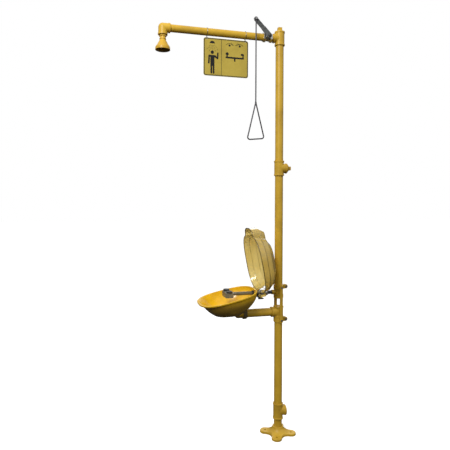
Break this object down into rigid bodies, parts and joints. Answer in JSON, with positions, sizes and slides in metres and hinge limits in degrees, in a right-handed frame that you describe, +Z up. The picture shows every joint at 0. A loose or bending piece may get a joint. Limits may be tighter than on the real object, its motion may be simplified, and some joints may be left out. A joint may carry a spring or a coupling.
{
  "type": "emergency safety shower",
  "caption": "Floor-standing emergency drench shower with pull handle and lever valve, hanging pictogram sign, and an eye and face wash bowl under a hinged dust cover.",
  "frame": {"origin": "centre of the floor flange's bolt circle, on the pole axis at the floor", "axes": "+Z up along the pole, -X along the shower arm towards the shower head and the bowl, -Y the side with the lever and the pull rod"},
  "size_m": [0.8427, 0.324, 2.476],
  "materials": {
    "safety_yellow": "semi-gloss baked coating",
    "head_yellow": "semi-gloss baked coating",
    "bowl_yellow": "gloss moulded",
    "cover_plastic": "translucent moulded",
    "drain_union": "dull olive coating",
    "steel_fastener": "zinc plated",
    "rod_steel": "satin",
    "valve_chrome": "satin plated",
    "valve_ball": "polished",
    "brass_nut": "machined",
    "white_seat": "smooth",
    "lever_grey": "dark coating",
    "sign_face": "printed sheet",
    "grey_plastic": "moulded",
    "dark_plastic": "moulded",
    "black_rubber": "matt"
  },
  "bodies": {
    "root": {"floor_flange": "safety_yellow", "base_nipple": "safety_yellow", "waste_tee": "safety_yellow", "drain_standpipe": "safety_yellow", "drain_tee": "safety_yellow", "drain_tee_plug": "safety_yellow", "drain_arm": "safety_yellow", "drain_union_nut": "drain_union", "lower_clamp": "safety_yellow", "upper_clamp": "safety_yellow", "bridge_bar_front": "safety_yellow", "bridge_bar_back": "safety_yellow", "bridge_screws": "steel_fastener", "clamp_bolts": "steel_fastener", "clamp_nuts": "steel_fastener", "supply_cap": "safety_yellow", "supply_pipe": "safety_yellow", "feed_boss": "safety_yellow", "supply_tee": "safety_yellow", "supply_tee_plug": "safety_yellow", "riser_pipe": "safety_yellow", "top_tee": "safety_yellow", "top_plug": "safety_yellow", "arm_nipple": "safety_yellow", "shower_valve_body": "valve_chrome", "shower_valve_end": "valve_chrome", "shower_valve_seats": "white_seat", "shower_packing_nut": "brass_nut", "shower_arm": "safety_yellow", "arm_elbow": "safety_yellow", "head_bushing": "safety_yellow", "shower_head": "head_yellow", "head_diffuser": "dark_plastic", "feed_nipple": "rod_steel", "eyewash_valve_body": "valve_chrome", "eyewash_valve_end": "valve_chrome", "eyewash_valve_seats": "white_seat", "eyewash_packing_nut": "brass_nut", "spray_arm": "grey_plastic", "spray_head": "grey_plastic", "spray_nozzles": "dark_plastic", "bowl": "bowl_yellow", "arm_grommet": "black_rubber", "hinge_bracket": "rod_steel", "hinge_pins": "steel_fastener"},
    "shower_lever": {"shower_lever": "lever_grey", "lever_nut": "steel_fastener", "lever_pin": "steel_fastener", "shower_valve_stem": "valve_ball", "shower_valve_ball": "valve_ball"},
    "pull_rod": {"pull_rod": "rod_steel"},
    "sign": {"sign_plate": "sign_face", "sign_hanger_near_pole": "steel_fastener", "sign_hanger_near_head": "steel_fastener"},
    "dust_cover": {"dust_cover": "cover_plastic"},
    "eyewash_stem": {"eyewash_valve_stem": "valve_ball", "eyewash_valve_ball": "valve_ball", "valve_crank": "rod_steel"},
    "cover_link": {"cover_link": "rod_steel"}
  },
  "joints": [
    {"name": "shower_lever_turn", "type": "hinge", "parent": "root", "child": "shower_lever", "pos_m": [-0.08, 0, 2.378], "axis": [0, -1, 0], "range_deg": [0, 90]},
    {"name": "pull_rod_swing", "type": "hinge", "parent": "shower_lever", "child": "pull_rod", "pos_m": [-0.16551, -0.0505, 2.46502], "axis": [0, -1, 0], "range_deg": [-90, 8]},
    {"name": "sign_swing", "type": "hinge", "parent": "root", "child": "sign", "pos_m": [-0.332, 0, 2.378], "axis": [1, 0, 0], "range_deg": [-35, 35]},
    {"name": "dust_cover_hinge", "type": "hinge", "parent": "root", "child": "dust_cover", "pos_m": [-0.152, 0, 0.86], "axis": [0, -1, 0], "range_deg": [0, 91.3]},
    {"name": "eyewash_stem_turn", "type": "hinge", "parent": "root", "child": "eyewash_stem", "pos_m": [-0.092, 0, 0.857], "axis": [0, -1, 0], "range_deg": [0, 91.3]},
    {"name": "cover_link_turn", "type": "hinge", "parent": "dust_cover", "child": "cover_link", "pos_m": [-0.16303, 0.103, 0.85138], "axis": [0, -1, 0], "range_deg": [-91.3, 0]}
  ],
  "couplings": [
    {"joint": "eyewash_stem_turn", "follows": "dust_cover_hinge", "ratio": 1},
    {"joint": "cover_link_turn", "follows": "dust_cover_hinge", "ratio": -1}
  ]
}
